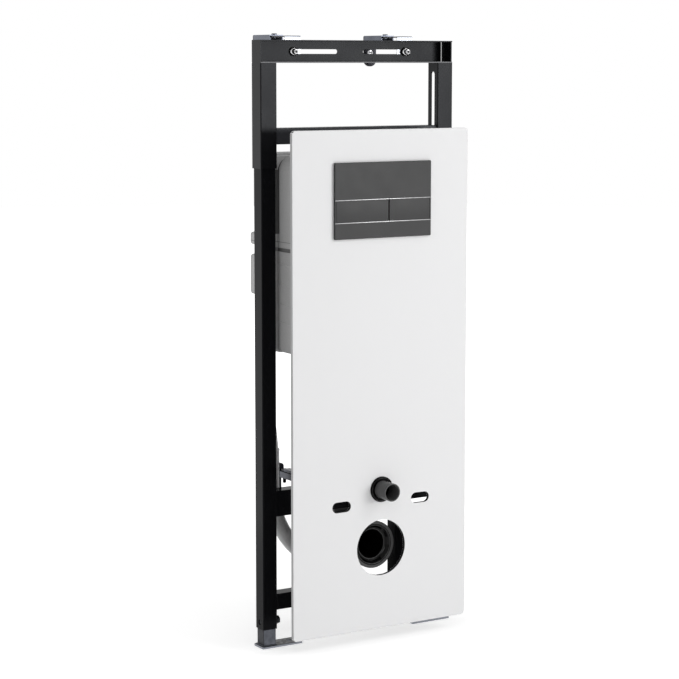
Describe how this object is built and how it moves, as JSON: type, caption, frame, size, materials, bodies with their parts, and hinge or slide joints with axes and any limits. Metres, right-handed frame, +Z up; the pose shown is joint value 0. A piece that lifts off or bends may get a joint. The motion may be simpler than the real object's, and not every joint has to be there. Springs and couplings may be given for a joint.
{
  "type": "wall hung toilet frame",
  "caption": "Steel frame that carries a wall hung toilet: height-adjustable feet and top, wall brackets, cistern, flush plate, front panel, flush and waste pipes.",
  "frame": {"origin": "on the floor, midway between the anchor holes of the two feet, on the centre plane of the uprights", "axes": "+X along the frame's width, -Y towards the room and the bowl, +Y towards the wall, +Z up"},
  "size_m": [0.501, 0.329, 1.3573],
  "materials": {
    "black_steel": "satin",
    "galvanised": "satin",
    "bracket_steel": "satin",
    "dark_bolt": "satin",
    "zinc": "satin",
    "bright_bolt": "polished",
    "panel": "satin",
    "plate": "satin",
    "grey_plastic": "matte",
    "black_plastic": "gloss"
  },
  "bodies": {
    "feet": {"left_base_plate": "galvanised", "right_base_plate": "galvanised", "left_foot_tube": "galvanised", "right_foot_tube": "galvanised"},
    "frame": {"left_upright": "black_steel", "right_upright": "black_steel", "left_inner_post": "black_steel", "right_inner_post": "black_steel", "lower_cross_rail": "black_steel", "stud_rail": "black_steel", "left_support_bracket": "bracket_steel", "right_support_bracket": "bracket_steel", "left_support_bolt": "dark_bolt", "right_support_bolt": "dark_bolt", "left_lock_bolt": "dark_bolt", "right_lock_bolt": "dark_bolt", "front_panel": "panel", "flush_plate": "plate", "cistern_tank": "grey_plastic", "cistern_shell": "grey_plastic", "cistern_seam": "grey_plastic", "drain_pipe": "grey_plastic", "drain_collar": "grey_plastic", "access_box": "black_plastic", "flush_bend": "black_plastic", "flush_sleeve": "black_plastic", "waste_socket": "black_plastic", "waste_bend": "black_plastic", "waste_clamp": "black_plastic"},
    "large_button": {"large_button": "plate"},
    "small_button": {"small_button": "plate"},
    "upper_frame": {"left_sleeve": "black_steel", "right_sleeve": "black_steel", "top_rail": "black_steel", "upper_cross_rail": "black_steel", "left_sleeve_bolt": "dark_bolt", "right_sleeve_bolt": "dark_bolt"},
    "left_bracket": {"left_bracket_arm": "zinc", "left_bracket_bolt": "bright_bolt"},
    "left_channel": {"left_wall_channel": "zinc", "left_clamp_screw": "zinc"},
    "right_bracket": {"right_bracket_arm": "zinc", "right_bracket_bolt": "bright_bolt"},
    "right_channel": {"right_wall_channel": "zinc", "right_clamp_screw": "zinc"}
  },
  "joints": [
    {"name": "height_slide", "type": "slide", "parent": "feet", "child": "frame", "axis": [0, 0, 1], "range_m": [-0.015, 0.17]},
    {"name": "top_slide", "type": "slide", "parent": "frame", "child": "upper_frame", "axis": [0, 0, 1], "range_m": [-0.012, 0.03]},
    {"name": "left_bracket_slide", "type": "slide", "parent": "upper_frame", "child": "left_bracket", "axis": [1, 0, 0], "range_m": [-0.004, 0.1]},
    {"name": "right_bracket_slide", "type": "slide", "parent": "upper_frame", "child": "right_bracket", "axis": [-1, 0, 0], "range_m": [-0.004, 0.1]},
    {"name": "left_depth_slide", "type": "slide", "parent": "left_bracket", "child": "left_channel", "axis": [0, 1, 0], "range_m": [-0.03, 0.015]},
    {"name": "right_depth_slide", "type": "slide", "parent": "right_bracket", "child": "right_channel", "axis": [0, 1, 0], "range_m": [-0.03, 0.015]},
    {"name": "large_button_press", "type": "slide", "parent": "frame", "child": "large_button", "axis": [0, 1, 0], "range_m": [0, 0.004], "stiffness_N_per_m": 1500, "springref_m": -0.002},
    {"name": "small_button_press", "type": "slide", "parent": "frame", "child": "small_button", "axis": [0, 1, 0], "range_m": [0, 0.004], "stiffness_N_per_m": 1500, "springref_m": -0.002}
  ]
}
